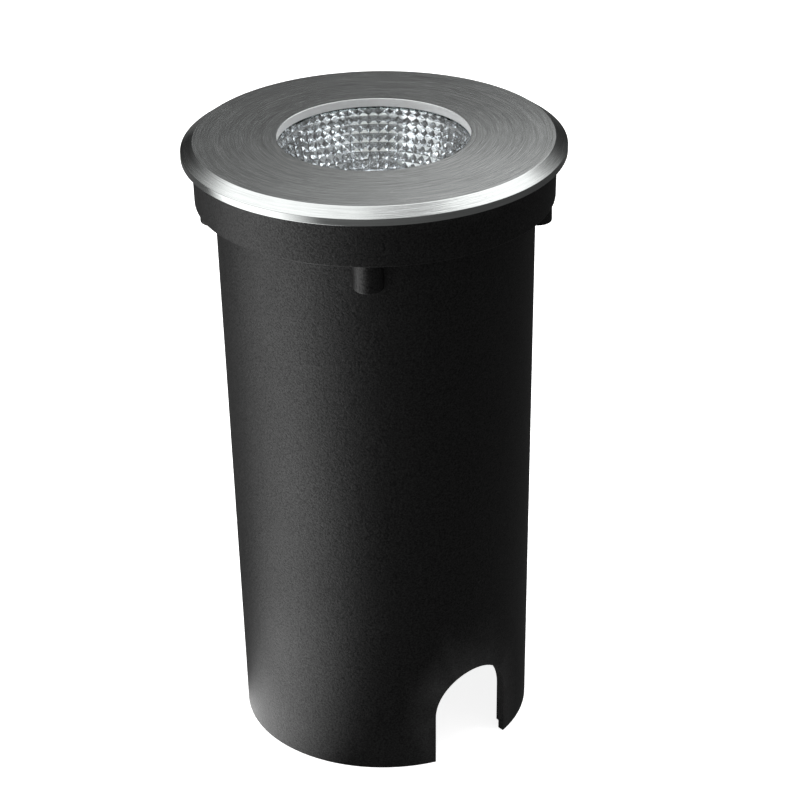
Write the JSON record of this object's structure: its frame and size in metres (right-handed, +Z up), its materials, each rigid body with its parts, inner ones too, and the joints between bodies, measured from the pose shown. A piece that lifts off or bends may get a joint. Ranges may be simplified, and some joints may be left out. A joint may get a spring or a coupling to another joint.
{
  "type": "recessed light",
  "caption": "In-ground garden light: a round stainless cover with a glazed, studded reflector, over a sealed lamp in a tall black installation pot with a cable notch.",
  "frame": {"origin": "centre of the pot's open foot, where it stands", "axes": "+Z up along the lamp's axis to the cover; the four screw bosses lie on +X, -X, +Y and -Y"},
  "size_m": [0.125, 0.125, 0.2124],
  "materials": {
    "pot_plastic": "fine moulded grain",
    "stainless": "turned and brushed round",
    "cast_aluminium": "die cast, plain",
    "reflector_chrome": "metallised, bright",
    "clear_glass": "toughened, clear",
    "seal_rubber": "matt",
    "brass": "turned",
    "screw_steel": "plain stainless",
    "bracket_steel": "zinc plated sheet",
    "board_white": "solder mask",
    "led_yellow": "phosphor under silicone",
    "white_plastic": "moulded",
    "thermal_pad": "soft pad",
    "driver_plastic": "moulded",
    "terminal_plastic": "moulded",
    "gland_plastic": "moulded",
    "lead_red": "insulated wire",
    "lead_black": "insulated wire",
    "lead_brown": "insulated wire",
    "lead_blue": "insulated wire"
  },
  "bodies": {
    "pot": {"mounting_pot": "pot_plastic", "pot_inserts": "brass"},
    "lamp": {"flange_seal": "seal_rubber", "lamp_housing": "cast_aluminium", "fixing_screws": "screw_steel", "stud_bushes": "seal_rubber", "glass": "clear_glass", "glass_seal": "seal_rubber", "clamp_ring": "stainless", "clamp_screws": "screw_steel", "reflector": "reflector_chrome", "led_module": "board_white", "led_emitter": "led_yellow", "led_holder": "white_plastic", "holder_screws": "screw_steel", "thermal_pad": "thermal_pad", "web_grommet": "seal_rubber", "led_lead_red": "lead_red", "led_lead_black": "lead_black", "driver_case": "driver_plastic", "driver_lid": "driver_plastic", "driver_bracket": "bracket_steel", "bracket_screws": "screw_steel", "driver_screws": "screw_steel", "terminal_block": "terminal_plastic", "terminal_screws": "brass", "mains_lead_brown": "lead_brown", "mains_lead_blue": "lead_blue", "rear_cover": "cast_aluminium", "rear_seal": "seal_rubber", "rear_screws": "screw_steel", "gland_body": "gland_plastic", "gland_washer": "seal_rubber", "gland_locknut": "gland_plastic", "gland_insert": "seal_rubber", "vent_plug": "gland_plastic"},
    "cover": {"cover_ring": "stainless", "cover_studs": "screw_steel", "cover_gasket": "seal_rubber"},
    "gland_nut": {"gland_nut": "gland_plastic"}
  },
  "joints": [
    {"name": "lamp_lift", "type": "slide", "parent": "pot", "child": "lamp", "axis": [0, 0, 1], "range_m": [0, 0.125]},
    {"name": "cover_pull", "type": "slide", "parent": "lamp", "child": "cover", "axis": [0, 0, 1], "range_m": [0, 0.06]},
    {"name": "gland_nut_turn", "type": "hinge", "parent": "lamp", "child": "gland_nut", "pos_m": [0, 0.021, 0.0996], "axis": [0, 0, -1], "range_deg": [0, 360]}
  ]
}
